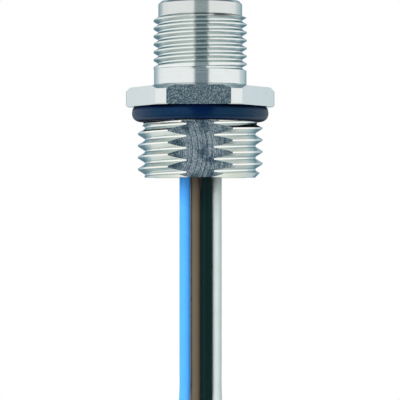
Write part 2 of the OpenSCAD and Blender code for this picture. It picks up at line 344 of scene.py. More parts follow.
class Finish(Shader):
    """A material and its node tree."""

    def __init__(self, name):
        self.material = bpy.data.materials.new(name)
        self.material.use_nodes = True
        super().__init__(self.material.node_tree)
        self.place = self.add("ShaderNodeTexCoord", out="Object")

    def principled(self, sockets):
        """A surface shader."""
        return self.add("ShaderNodeBsdfPrincipled", {}, sockets)

    def ended(self, shader):
        """Ends the tree in a shader and returns the material."""
        self.add("ShaderNodeOutputMaterial", {}, {"Surface": shader})
        return self.material

    def surface(self, sockets):
        """Ends the tree in its surface shader and returns the material."""
        return self.ended(self.principled(sockets))


# Finishes

# Tint of nickel that is seen at a low angle
EDGE_TINT = (0.38, 0.5, 0.55)
# Painted shadow: tone of the dark coat under the nose and under the seal
PAINTED_SHADOW_FILM = (0.001, 0.007, 0.018)
# Pits of the bar on the front flat, dark bluish; partly a painted reflection
BAR_PITS_AND_PAINTED_REFLECTION = (0.1, 0.21, 0.32)
# Tone of the milled flat, dark bluish; partly a painted reflection
CUTTER_DULL_AND_PAINTED_REFLECTION = (0.12, 0.21, 0.28)
SEAL_GLOSS = (0.3, 0.9, 1.0)
SEAL_SHEEN = (0.05, 0.39, 0.75)
# Middle of the cutter's paths on the milled flat
CUTTER_SIDE = -7.5 * MM
CUTTER_HEIGHT = -5.6 * MM
# Distance of the ribs on the tie's strap
RIB_PITCH = 0.55 * MM
# Turns of the coupling thread from its first root to the run-out under the nose
PLUG_TURNS = 6.35


def run_out(sizes):
    """Height where the coupling thread runs out under the nose."""
    return sizes.plug_root + PLUG_TURNS * sizes.plug_pitch


def nose_painted_shadow(finish, side, height, sizes):
    """Mask of the painted shadow line in the run-out under the nose, strongest at the right."""
    level = run_out(sizes)
    slant = height - finish.ease(side, -1 * MM, 1 * MM, -0.05 * MM, 0.08 * MM)
    line = finish.between(slant, level - 0.24 * MM, level + 0.22 * MM, 0.08 * MM)
    right = finish.ease(side, 0.9 * MM, 2 * MM)
    right = right * finish.ease(side, 2.8 * MM, 5 * MM, 0.9, 0.1)
    left = finish.ease(side, -0.8 * MM, -1.5 * MM)
    left = left * finish.ease(side, -2.4 * MM, -4 * MM, 0.4, 0.1)
    return line * (right + left)


def seal_painted_shadow(finish, side, depth, height):
    """Mask of the painted shadow under the seal at the left front."""
    low = SEAL_LOW.z
    wedge = finish.ease(side, -2.6 * MM, -6.2 * MM) * (0.18 * MM)
    painted_shadow = finish.ease(height + wedge, low - 0.05 * MM, low)
    painted_shadow = painted_shadow * finish.ease(height, low + 0.03 * MM, low + 0.06 * MM, 1.0, 0.0)
    return painted_shadow * finish.ease(side, -2.4 * MM, -2.9 * MM) * finish.ease(depth, 1 * MM, -1 * MM)


def turned_nickel(colours, sizes):
    """Bright nickel plate over fine turning lines, with painted shadow as a dark, rough, non-metal coat
    under the nose and under the seal.
    """
    finish = Finish("turned_nickel")
    side, depth, height = finish.axes(finish.place)
    reach = finish.maths("SQRT", side * side + depth * depth)
    lines = finish.line_noise(height, 0.16 * MM, 3.0)
    cloud = finish.noise(finish.place, 1.2 * MM, 3.0)
    crest = sizes.plug_thread / 2
    # Painted shade: the coupling thread's flanks a little darker
    painted_flank_shade = finish.between(reach, crest - 0.53 * MM, crest - 0.04 * MM, 0.08 * MM)
    painted_flank_shade = painted_flank_shade * finish.ease(height, sizes.collar_top, sizes.collar_top + 0.2 * MM)
    level = run_out(sizes)
    nose = finish.ease(height, level + 0.1 * MM, level + 0.3 * MM, 0.0, 0.15)
    # Painted shadow under the nose and under the seal
    painted_shadow = nose_painted_shadow(finish, side, height, sizes) + seal_painted_shadow(finish, side, depth, height)
    # Painted light: one nickel plate in three tones by height, the panel side lightest and most
    # cream-coloured, the coupling side lighter than the flange
    tone = finish.layered(
        colours.panel_painted_light,
        (finish.ease(height, -0.5 * MM, 0.2 * MM), colours.nickel),
        (finish.ease(height, 4.5 * MM, 5 * MM), colours.coupling_painted_light),
    )
    tone = finish.shade(tone, 0.93 + lines * 0.08 + cloud * 0.06 - nose - painted_flank_shade * 0.03)
    return finish.surface({
        "Base Color": finish.blend(painted_shadow, tone, PAINTED_SHADOW_FILM),
        "Metallic": 1.0 - painted_shadow,
        "Roughness": 0.09 + lines * 0.07 + painted_shadow * 0.5,
        "Specular IOR Level": 0.1,
        "Specular Tint": EDGE_TINT,
        "Normal": finish.bump(lines, 0.002 * MM),
    })


def drawn_nickel(colours, sizes):
    """Nickel plate on the drawn flats of the hex. The front one has the pits of the bar, in a dark
    bluish tone that is partly a painted reflection.
    """
    finish = Finish("drawn_nickel")
    _, depth, _ = finish.axes(finish.place)
    pits = finish.noise(finish.place, 0.24 * MM, 1.0)
    cloud = finish.noise(finish.place, 1.5 * MM)
    face = -sizes.hex_flats / 2
    front = finish.ease(depth, face + 0.4 * MM, face + 0.15 * MM)
    grain = finish.ease(finish.noise(finish.place, 0.17 * MM, 1.0), 0.35, 0.65, 0.75, 0.0)
    tone = finish.shade(colours.nickel, 0.98 + cloud * 0.08)
    return finish.surface({
        # Painted reflection in part: the front flat's pits take a dark bluish tone
        "Base Color": finish.blend(grain * front, tone, BAR_PITS_AND_PAINTED_REFLECTION),
        "Metallic": 1.0,
        "Roughness": 0.08 + pits * 0.06,
        "Specular Tint": EDGE_TINT,
        "Normal": finish.bump(pits * (front * 0.8 + 0.2), 0.026 * MM),
    })


def milled_nickel(colours):
    """Nickel plate on the milled flat, with the curved paths of the cutter."""
    finish = Finish("milled_nickel")
    side, _, height = finish.axes(finish.place)
    across = side - CUTTER_SIDE
    along = height - CUTTER_HEIGHT
    reach = finish.maths("SQRT", across * across + along * along)
    paths = finish.ease(finish.line_noise(reach, 0.15 * MM, 1.0), 0.42, 0.64)
    pits = finish.noise(finish.place, 0.2 * MM, 1.0)
    grain = finish.ease(pits, 0.35, 0.65)
    scored = paths * finish.ease(finish.noise(finish.place, 2.2 * MM), 0.3, 0.6)
    return finish.surface({
        # Painted reflection in part: the milled flat's dark bluish tone, with nickel showing in the
        # cutter's paths and grains
        "Base Color": finish.blend(grain * 0.35 + scored * 0.38, CUTTER_DULL_AND_PAINTED_REFLECTION, colours.nickel),
        "Metallic": 1.0,
        "Roughness": 0.08 + pits * 0.06,
        "Normal": finish.bump(scored * 0.8 + pits * 0.7, 0.026 * MM),
    })


def seal_rubber(colours):
    """Smooth rubber with faint lines round the ring, and painted shade as a darker, matt copy where it
    nearly meets the metal.
    """
    finish = Finish("seal_rubber")
    _, _, height = finish.axes(finish.place)
    around = finish.noise(finish.stretched(finish.place, (1, 1, 9)), 2.2 * MM, 3.0)
    dust = finish.noise(finish.place, 0.5 * MM, 3.0)
    tone = finish.mottled(around, colours.seal, 0.7, 1.4)
    normal = finish.bump(dust, 0.006 * MM)
    lit_share = finish.ease(height, SEAL_LOW.z + 0.06 * MM, SEAL_LOW.z + 0.3 * MM)
    lit_share = lit_share * finish.ease(height, -0.65 * MM, -0.15 * MM, 1.0, 0.0)
    # Painted shade: this matt copy at half brightness shows near the flange and the neck, and partly at
    # low angles; the glossy copy is the lit rubber
    matt = finish.principled({
        "Base Color": finish.shade(tone, 0.5),
        "Roughness": 0.7,
        "Specular IOR Level": 0.02,
        "Normal": normal,
    })
    glossy = finish.principled({
        "Base Color": tone,
        "Roughness": 0.16 + dust * 0.12,
        "Specular IOR Level": 0.36,
        "Specular Tint": SEAL_GLOSS,
        "Sheen Weight": 0.2,
        "Sheen Roughness": 0.4,
        "Sheen Tint": SEAL_SHEEN,
        "Normal": normal,
    })
    aslant = finish.add("ShaderNodeLayerWeight", {}, {"Blend": 0.5}, "Facing")
    gloss = lit_share * finish.ease(aslant, 0.3, 0.9, 1.0, 0.4)
    return finish.ended(finish.add("ShaderNodeMixShader", {}, {0: gloss, 1: matt, 2: glossy}))


def insulation(name, colour):
    """Extruded wire insulation, slightly uneven."""
    finish = Finish(name)
    draw = finish.noise(finish.stretched(finish.place, (1, 1, 0.12)), 0.5 * MM)
    cloud = finish.noise(finish.place, 2.5 * MM)
    return finish.surface({
        "Base Color": finish.mottled(cloud, colour, 0.93, 1.06),
        "Roughness": 0.34 + draw * 0.14,
        "Specular IOR Level": 0.04,
        "Normal": finish.bump(draw, 0.006 * MM),
    })


def moulded_black(colours):
    """Moulded insulator with a fine spark-eroded grain."""
    finish = Finish("moulded_black")
    grain = finish.noise(finish.place, 0.09 * MM, 3.0)
    cloud = finish.noise(finish.place, 1.4 * MM)
    return finish.surface({
        "Base Color": finish.mottled(cloud, colours.moulding, 0.85, 1.25),
        "Roughness": 0.42 + grain * 0.2,
        "Normal": finish.bump(grain, 0.012 * MM),
    })


def gold_plate(colours):
    """Polished gold plate over faint turning lines."""
    finish = Finish("gold_plate")
    _, _, height = finish.axes(finish.place)
    lines = finish.line_noise(height, 0.1 * MM)
    cloud = finish.noise(finish.place, 0.8 * MM)
    return finish.surface({
        "Base Color": finish.mottled(cloud, colours.gold, 0.92, 1.04),
        "Metallic": 1.0,
        "Roughness": 0.16 + lines * 0.12,
        "Normal": finish.bump(lines, 0.004 * MM),
    })


def cast_resin(colours):
    """Cast potting with a slow ripple and a few fine bubbles."""
    finish = Finish("cast_resin")
    ripple = finish.noise(finish.place, 2.2 * MM)
    bubbles = finish.add(
        "ShaderNodeTexVoronoi", {}, {"Vector": finish.place, "Scale": 1 / (0.9 * MM)}, "Distance"
    )
    holes = finish.ease(bubbles, 0.05, 0.11)
    return finish.surface({
        "Base Color": finish.mottled(ripple, colours.resin, 0.8, 1.3),
        "Roughness": 0.16 + ripple * 0.12,
        "Normal": finish.bump(ripple + holes * 0.5, 0.06 * MM),
    })


def tinned_strand(colours):
    """Tinned copper strand, mottled in tone and roughness."""
    finish = Finish("tinned_strand")
    cloud = finish.noise(finish.place, 0.3 * MM, 3.0)
    return finish.surface({
        "Base Color": finish.mottled(cloud, colours.tin, 0.8, 1.1),
        "Metallic": 1.0,
        "Roughness": 0.25 + cloud * 0.2,
        "Normal": finish.bump(cloud, 0.01 * MM),
    })


def ribbed_nylon(colours):
    """Nylon strap with the ribs that its lock bites into."""
    finish = Finish("ribbed_nylon")
    side, depth, _ = finish.axes(finish.place)
    ribs = finish.maths("SINE", (side + depth) * (2 * math.pi / RIB_PITCH)) * 0.5 + 0.5
    grain = finish.noise(finish.place, 0.15 * MM, 3.0)
    return finish.surface({
        "Base Color": finish.mottled(grain, colours.nylon, 0.85, 1.4),
        "Roughness": 0.36 + grain * 0.2,
        "Normal": finish.bump(ribs + grain * 0.1, 0.08 * MM),
    })


# Modelling tools

def only(piece):
    """Makes one object the only selected and the active one."""
    bpy.ops.object.select_all(action="DESELECT")
    piece.select_set(True)
    bpy.context.view_layer.objects.active = piece


def named(name):
    """Names the active object and its mesh."""
    piece = bpy.context.view_layer.objects.active
    piece.name = name
    piece.data.name = name
    return piece


def discard(piece):
    """Deletes a tool that has done its work."""
    only(piece)
    bpy.ops.object.delete()


@contextmanager
def editing(piece):
    """Edit mode on one piece, with all of its mesh selected at the start."""
    only(piece)
    bpy.ops.object.mode_set(mode="EDIT")
    bpy.ops.mesh.select_all(action="SELECT")
    yield
    bpy.ops.object.mode_set(mode="OBJECT")


def choose(piece, kind, test):
    """In edit mode, selects the vertices, edges or faces that pass the test."""
    bpy.ops.mesh.select_mode(type=kind)
    bpy.ops.mesh.select_all(action="DESELECT")
    mesh = bmesh.from_edit_mesh(piece.data)
    for element in {"VERT": mesh.verts, "EDGE": mesh.edges, "FACE": mesh.faces}[kind]:
        element.select_set(test(element))
    mesh.select_flush_mode()
    bmesh.update_edit_mesh(piece.data)


def close_up(piece):
    """Merges doubles and turns the faces outwards."""
    with editing(piece):
        bpy.ops.mesh.remove_doubles(threshold=MERGE)
        bpy.ops.mesh.normals_make_consistent(inside=False)


def smooth(piece):
    """Shades a piece smooth, apart from its sharp edges."""
    only(piece)
    bpy.ops.object.shade_smooth_by_angle(angle=SMOOTH_ANGLE)


def move(piece, offset):
    """Moves a piece in its mesh."""
    with editing(piece):
        bpy.ops.transform.translate(value=offset)


def primitive(name, add, **sizes):
    """Adds a primitive, with its place and turn in its mesh."""
    bpy.ops.object.select_all(action="DESELECT")
    add(**sizes)
    bpy.ops.object.transform_apply(location=True, rotation=True, scale=True)
    return named(name)


def modify(piece, kind, **settings):
    """Adds a modifier with its settings to a piece and applies it."""
    only(piece)
    bpy.ops.object.modifier_add(type=kind)
    modifier = piece.modifiers[-1]
    for name, value in settings.items():
        setattr(modifier, name, value)
    bpy.ops.object.modifier_apply(modifier=modifier.name)


def boolean(piece, tool, operation):
    """Adds a tool to a piece, or cuts the piece with it, and deletes the tool."""
    modify(piece, "BOOLEAN", operation=operation, solver="EXACT", object=tool)
    discard(tool)


def wind(piece, angle, rise, turns, steps):
    """Winds a drawn line round the axis into a screw with open ends."""
    modify(
        piece,
        "SCREW",
        angle=angle,
        screw_offset=rise,
        iterations=turns,
        steps=steps,
        render_steps=steps,
    )


def cap_ends(piece, sides):
    """Fills the open ends of a wound piece."""
    with editing(piece):
        bpy.ops.mesh.fill_holes(sides=sides)
    close_up(piece)


def drawn_line(name, points):
    """Draws a line of vertices through points of (radius, height) in the XZ plane."""
    piece = primitive(name, bpy.ops.mesh.primitive_plane_add, size=MM)
    with editing(piece):
        bpy.ops.mesh.select_mode(type="VERT")
        bpy.ops.mesh.merge(type="CENTER")
        bpy.ops.transform.translate(value=(points[0][0], 0, points[0][1]))
        for start, end in zip(points, points[1:]):
            step = (end[0] - start[0], 0, end[1] - start[1])
            bpy.ops.mesh.extrude_region_move(TRANSFORM_OT_translate={"value": step})
        bpy.ops.mesh.select_all(action="SELECT")
        bpy.ops.mesh.remove_doubles(threshold=MERGE)
    return piece


def turned(name, points, steps=TURN_STEPS):
    """Spins a profile of (radius, height) points round the axis."""
    piece = drawn_line(name, points)
    with editing(piece):
        bpy.ops.mesh.spin(steps=steps, angle=2 * math.pi, center=(0, 0, 0), axis=(0, 0, 1))
    close_up(piece)
    return piece


def block(name, low, high, bevel=0.0):
    """A block between two corners, with its edges rounded."""
    low, high = Vector(low), Vector(high)
    piece = primitive(name, bpy.ops.mesh.primitive_cube_add, size=1)
    with editing(piece):
        bpy.ops.transform.resize(value=high - low)
        bpy.ops.transform.translate(value=(low + high) / 2)
        if bevel:
            bpy.ops.mesh.bevel(offset=bevel, segments=3, affect="EDGES")
    return piece


def copy_of(piece, name, offset):
    """A copy with its own mesh, moved by an offset in its mesh."""
    only(piece)
    bpy.ops.object.duplicate(linked=False)
    made = named(name)
    move(made, offset)
    return made


def joined(name, pieces):
    """Joins pieces into the first one."""
    only(pieces[0])
    for piece in pieces:
        piece.select_set(True)
    bpy.ops.object.join()
    return named(name)


def finished(piece, material, slot, *nodes):
    """Gives a piece its material and body and hides the nodes that it stands for. The slot is not used.
    """
    if material is not None:
        piece.data.materials.clear()
        piece.data.materials.append(material)
    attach(piece, BODY)
    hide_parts(*nodes)


# Contacts 1 to 4, as seen on the plug's face
CONTACT_ANGLES = (-45, 45, 135, 225)


def contact_place(sizes, number):
    """Centre of a contact."""
    angle = math.radians(CONTACT_ANGLES[number - 1])
    return Vector((math.cos(angle), math.sin(angle), 0)) * (sizes.contact_circle / 2)


# Wire routes, the same as in the part's source

class Wire(NamedTuple):
    """One wire: its colour, contact, place in the row, place in the hank and inner bend."""

    colour: str
    contact: int
    row: tuple
    hank_share: float
    bend: list


# Lengths here are in millimetres.
WIRES = [
    Wire("blue", 3, (-1.95, -0.1), -1.5, [
        (-1.8, 1.7, -3), (-1.85, 1.4, -4), (-1.9, 0.95, -5), (-1.9, 0.5, -6),
        (-1.95, 0.15, -7.2), (-1.95, -0.05, -8.6),
    ]),
    Wire("brown", 1, (-0.55, 0.25), -0.5, [
        (1.65, -1.6, -3), (1.2, -1.05, -4), (0.5, -0.4, -5), (-0.1, 0.05, -6),
        (-0.45, 0.2, -7.2), (-0.55, 0.25, -8.6),
    ]),
    Wire("black", 4, (0.8, -0.25), 0.5, [
        (-1.65, -1.85, -3), (-1.2, -1.95, -4), (-0.5, -1.95, -5), (0.15, -1.85, -6),
        (0.6, -1.6, -7.2), (0.8, -1.2, -8.6),
    ]),
    Wire("white", 2, (2.05, 0.4), 1.5, [
        (1.8, 1.7, -3), (1.85, 1.55, -4), (1.9, 1.3, -5), (1.95, 1, -6),
        (2, 0.7, -7.2), (2.05, 0.5, -8.6),
    ]),
]
HANG_HEIGHTS = [z * MM for z in (-11, -13, -17, -21, -25, -29, -33, -36)]
LEAD_HEIGHT = -41 * MM
LEAD_DROP = 4.4 * MM
LEAD_BEND = ((0, 0), (0.7 * MM, -2.1 * MM), (2.2 * MM, -3.9 * MM))
OVER_ANGLES = (65, 50, 36, 23, 11)
OVER_GAP = 0.08 * MM
# Share of half a run, from the middle, at which the innermost run ends
END_SHARE = 0.45
# Share of half a run over which the tie's pull is full
WAIST_SHARE = 0.12
RUN_POINTS = 10
FOLD_POINTS = 13


class Hank:
    """Lines of the folded wires in the YZ plane, worked out from the sizes."""

    def __init__(self, sizes, insert):
        self.sizes = sizes
        self.runs = sizes.hank_runs
        self.step = sizes.lay_pitch / 2
        self.inner = sizes.fold - self.step / 2
        self.pull = self.inner - self.step / 2
        self.over_radius = self.fold_radius(1) + sizes.lay_pitch + OVER_GAP
        self.top = LEAD_HEIGHT - LEAD_DROP - self.over_radius
        start = Vector((0, HOUSING_LOW.z + insert.potting_sink))
        lead = [start, *self.over_points(), Vector((self.run_place(0), self.top))]
        lead_length = sum((b - a).length for a, b in zip(lead, lead[1:]))
        fold_length = math.pi * sum(self.fold_radius(j) for j in range(self.runs - 1))
        spare = sizes.wire_length - lead_length - fold_length
        self.run_length = spare / (self.runs - (1 - END_SHARE) / 2)
        self.bottom = self.top - self.run_length

    def run_place(self, run):
        """Distance of a run from the middle, without the tie's pull."""
        return self.inner + (self.runs - 1 - run) * self.step

    def fold_radius(self, fold):
        """Radius of the fold after a run."""
        return self.run_place(fold) - self.step / 2

    def over_points(self):
        """Points from the row over the top of the hank."""
        points = [Vector((y, LEAD_HEIGHT + z)) for y, z in LEAD_BEND]
        centre = Vector((-self.step / 2, self.top))
        for degrees in OVER_ANGLES:
            angle = math.radians(degrees)
            points.append(centre + Vector((math.cos(angle), math.sin(angle))) * self.over_radius)
        return points

    def run_point(self, run, share):
        """Point of a run, from -1 at the lower folds to 1 at the upper folds."""
        reach = max(0.0, abs(share) - WAIST_SHARE) / (1 - WAIST_SHARE)
        pulled = self.pull * (1 + math.cos(math.pi * reach)) / 2
        side = 1 if run % 2 == 0 else -1
        height = (self.top + self.bottom) / 2 + share * self.run_length / 2
        return Vector((side * (self.run_place(run) - pulled), height))

    def fold_points(self, fold):
        """Points of a fold between two runs, without its ends."""
        down = fold % 2 == 0
        centre = Vector((self.step / 2, self.bottom) if down else (-self.step / 2, self.top))
        points = []
        for i in range(1, FOLD_POINTS):
            turn = math.pi * i / FOLD_POINTS
            angle = -turn if down else math.pi - turn
            offset = Vector((math.cos(angle), math.sin(angle))) * self.fold_radius(fold)
            points.append(centre + offset)
        return points

    def points(self):
        """All points of the hank, from its outermost run to the end of the innermost one."""
        points = []
        for run in range(self.runs):
            start, end = (1, -1) if run % 2 == 0 else (-1, 1)
            last = run == self.runs - 1
            if last:
                end = END_SHARE
            shares = [start + (end - start) * i / RUN_POINTS for i in range(RUN_POINTS + 1)]
            points += [self.run_point(run, share) for share in shares]
            if not last:
                points += self.fold_points(run)
        return points


def wire_route(wire, hank, insert):
    """Points of one wire from its solder cup to its bare end."""
    x = wire.hank_share * hank.sizes.lay_pitch
    cup = contact_place(insert, wire.contact)
    route = [Vector((cup.x, cup.y, -insert.cup_end))]
    route += [Vector(point) * MM for point in wire.bend]
    route += [Vector((wire.row[0] * MM, wire.row[1] * MM, z)) for z in HANG_HEIGHTS]
    route += [Vector((x, p.x, p.y)) for p in hank.over_points() + hank.points()]
    return route


# Operators

# Tones of the studio, as metal mirrors it
WHITE = (1, 1, 1)
CEILING_LEFT = (0.62, 0.66, 0.62)
CEILING_RIGHT = (0.55, 0.6, 0.62)
CEILING_FRONT = (0.05, 0.06, 0.07)
FLOOR_EDGE = (0.5, 0.53, 0.5)
FLOOR_FRONT = (0.85, 0.87, 0.81)
BACKDROP = (0.74, 0.81, 0.85)
BACK_CEILING = (0.2, 0.29, 0.34)
BACK_FLOOR = (0.7, 0.74, 0.69)
BACK_FOOT = (0.3, 0.4, 0.45)
# Tones of the dark strip at the camera
STRIP = (0.1, 0.16, 0.2)
STRIP_SILL = (0.36, 0.42, 0.44)
STRIP_LINE = (0.5, 0.58, 0.59)
STRIP_LOW = (0.16, 0.2, 0.22)
STRIP_HIGH = (0.008, 0.022, 0.034)
STRIP_CEILING = (0.17, 0.21, 0.22)
STRIP_FLOOR = (0.13, 0.17, 0.19)
STRIP_FOOT = (0.6, 0.65, 0.66)
# Turn of the faces that mirror the strip's middle
STRIP_TURN = 0.03
# Keeps a divisor from zero
TINY = 0.001
# Camera and floor
CAMERA_SIDE = -0.03 * MM
SENSOR_WIDTH = 36
CLIP_START = 1 * MM
FLOOR_GAP = 0.3 * MM
FLOOR_RADIUS = 0.24
FLOOR_LIFT = 0.4


class PLUG_OT_stage(bpy.types.Operator):
    """Makes the camera, the lamps, the surroundings and the floor"""

    bl_idname = "plug.stage"
    bl_label = "Stage"

    def lamp(self, name, place, width, power):
        """Adds a soft square lamp that faces the plug."""
        bpy.ops.object.light_add(type="AREA", location=place)
        lamp = bpy.context.object
        lamp.name = name
        lamp.data.size = width
        lamp.data.energy = power
        lamp.rotation_euler = (-Vector(place)).to_track_quat("-Z", "Y").to_euler()
        lamp.visible_glossy = False

    def strip_tone(self, studio, height, tilt):
        """Tone of the dark strip at the camera, in bands from its middle to its ends."""
        ease = studio.ease
        return studio.layered(
            STRIP,
            (ease(height, 0.062, 0.074), STRIP_SILL),
            (ease(height, 0.094, 0.097), STRIP_LINE),
            (ease(height, 0.0, -0.14), STRIP_LOW),
            (ease(height, 0.13, 0.16), STRIP_HIGH),
            (ease(tilt, 0.2, 0.4), STRIP_CEILING),
            (ease(tilt, -0.2, -0.4), STRIP_FLOOR),
            (ease(tilt, -0.6, -0.68), STRIP_FOOT),
        )

    def mirrored(self, studio):
        """What metal mirrors: white soft boxes, a darker ceiling and a dark strip at the camera."""
        ease = studio.ease
        heading = studio.add("ShaderNodeTexCoord", out="Generated")
        # Parts of a direction: to the right, away from the camera and up
        side, depth, height = studio.axes(heading)
        # Turn and tilt of a face that mirrors this direction to the camera
        facing = 1.0 - depth
        turn = side / (facing + TINY)
        tilt = height / studio.maths("SQRT", facing * 2.0 + TINY)
        ceiling = studio.blend(ease(depth, -0.3, 0.05), CEILING_FRONT, CEILING_RIGHT)
        ceiling = studio.blend(ease(side, -0.1, 0.2), CEILING_LEFT, ceiling)
        behind = depth + ease(side, -0.5, 0.5) * 0.15
        aside = ease(depth, 0.05, 0.35)
        foot = ease(depth, 0.25, 0.5) * ease(height, -0.04, -0.2)
        foot = foot * ease(studio.maths("ABSOLUTE", side), 0.28, 0.36, 1.0, 0.0)
        off_strip = studio.maths("ABSOLUTE", turn - STRIP_TURN)
        off_strip = off_strip - ease(height, 0.05, 0.1) * 0.036
        strip = ease(off_strip, 0.13, 0.16, 1.0, 0.0) * ease(depth, 0.4, 0.6, 1.0, 0.0)
        return studio.layered(
            WHITE,
            (ease(tilt, 0.3, 0.45), ceiling),
            (ease(tilt, -0.3, -0.45), FLOOR_EDGE),
            (ease(tilt, -0.58, -0.66), FLOOR_FRONT),
            (ease(behind, 0.5, 0.68), BACKDROP),
            (aside * ease(height, 0.5, 0.7), BACK_CEILING),
            (aside * ease(height, -0.45, -0.6), BACK_FLOOR),
            (foot, BACK_FOOT),
            (strip, self.strip_tone(studio, height, tilt)),
        )

    def surroundings(self, sky):
        """Plain light for matt surfaces, the mirrored studio for metal and white for the camera."""
        world = bpy.data.worlds.new("studio")
        bpy.context.scene.world = world
        world.use_nodes = True
        studio = Shader(world.node_tree)
        ray = studio.outputs("ShaderNodeLightPath")
        tone = studio.layered(
            sky,
            (ray["Is Glossy Ray"], self.mirrored(studio)),
            (ray["Is Transmission Ray"], WHITE),
            (ray["Is Camera Ray"], WHITE),
        )
        light = studio.add("ShaderNodeBackground", {}, {"Color": tone, "Strength": 1.0})
        studio.add("ShaderNodeOutputWorld", {}, {"Surface": light})

    def floor(self):
        """A plain white floor under the hank that keeps the shadow."""
        floor = primitive(
            "floor",
            bpy.ops.mesh.primitive_circle_add,
            vertices=96,
            radius=FLOOR_RADIUS,
            fill_type="NGON",
        )
        floor.location.z = CAD_BOX[0].z - FLOOR_GAP
        finish = Finish("floor_white")
        tone = finish.mottled(finish.noise(finish.place, 20 * MM), WHITE, 0.8, 0.82)
        matt = finish.add("ShaderNodeBsdfDiffuse", {}, {"Color": tone})
        lift = finish.add("ShaderNodeEmission", {}, {"Color": WHITE, "Strength": FLOOR_LIFT})
        both = finish.add("ShaderNodeAddShader", {}, {0: matt, 1: lift})
        floor.data.materials.append(finish.ended(both))
        floor.visible_glossy = False

    def execute(self, context):
        settings = context.scene.plug_stage
        scene = context.scene
        scene.view_settings.view_transform = "Standard"
        bpy.ops.object.select_all(action="DESELECT")
        bpy.ops.object.camera_add(
            location=(CAMERA_SIDE, -settings.camera_distance, -settings.camera_drop),
            rotation=(math.pi / 2, 0, 0),
        )
        camera = context.object
        camera.name = "camera"
        camera.data.lens = settings.lens
        camera.data.sensor_width = SENSOR_WIDTH
        camera.data.clip_start = CLIP_START
        scene.camera = camera
        self.lamp("lamp_left", (-0.24, -0.31, 0.12), 0.3, settings.key_power)
        self.lamp("lamp_right", (0.37, -0.1, 0.08), 0.3, settings.fill_power)
        self.lamp("lamp_top", (0, -0.05, 0.4), 0.4, settings.top_power)
        self.surroundings(settings.sky)
        self.floor()
        return {"FINISHED"}


class PLUG_OT_hank_tie(bpy.types.Operator):
    """Makes the ribbed tie round the hank"""

    bl_idname = "plug.hank_tie"
    bl_label = "Hank Tie"

    def strap(self, low, high, thickness):
        """A closed strap round a box, with rounded corners."""
        wall = Vector((thickness, thickness, 0))
        strap = block("strap", low - wall, high + wall)
        with editing(strap):
            choose(strap, "EDGE", lambda e: abs((e.verts[0].co - e.verts[1].co).z) > MERGE)
            bpy.ops.mesh.bevel(offset=thickness, segments=6, affect="EDGES")
            choose(strap, "FACE", lambda f: abs(f.normal.z) > 0.9)
            bpy.ops.mesh.inset(thickness=thickness, depth=0)
            bpy.ops.mesh.bridge_edge_loops()
        close_up(strap)
        modify(strap, "BEVEL", width=0.12 * MM, segments=2, limit_method="ANGLE")
        return strap

    def head(self, low, high):
        """The lock with the slot that the strap leaves by."""
        rim, slot = 0.35 * MM, 0.12 * MM
        head = block("head", low, high, 0.4 * MM)
        with editing(head):
            choose(head, "FACE", lambda f: f.normal.y > 0.99)
            bpy.ops.mesh.inset(thickness=rim, depth=0)
            bpy.ops.mesh.inset(thickness=slot, depth=-slot)
        return head

    def execute(self, context):
        sizes = context.scene.plug_wires
        hank = Hank(sizes, context.scene.plug_insert)
        outer = hank.run_point(0, 0)
        right = outer.x + sizes.wire / 2
        left = hank.run_point(1, 0).x - sizes.wire / 2
        middle = (right + left) / 2
        side = 2 * sizes.lay_pitch
        half = sizes.tie_width / 2
        reach = sizes.tie_head / 2
        strap = self.strap(
            Vector((-side, left, outer.y - half)),
            Vector((side, right, outer.y + half)),
            sizes.tie_thickness,
        )
        head_gap = 0.2 * MM
        head = self.head(
            (side + head_gap, middle - reach, TIE_LOW.z),
            (TIE_HIGH.x, middle + reach, TIE_HIGH.z),
        )
        tail_near, tail_far, tail_half, tail_end = 1.5 * MM, 2.4 * MM, 0.85 * MM, 1.15 * MM
        tail = block(
            "tail",
            (side + tail_near, middle + reach / 2, outer.y - tail_half),
            (side + tail_far, middle + reach + tail_end, outer.y + tail_half),
            0.15 * MM,
        )
        tie = joined("hank_tie_ribbed", [strap, head, tail])
        smooth(tie)
        finished(tie, ribbed_nylon(context.scene.plug_colours), "tie_nylon", "hank_tie")
        return {"FINISHED"}


# Strand: sides of a fine wire, steps along it and turn for each millimetre
FINE_SIDES = 10
STRAND_STEPS = 20
STRAND_TWIST = math.radians(45)
# Wire: steps between two points of its route, and fineness of its round section
WIRE_STEPS = 4
WIRE_ROUNDING = 8


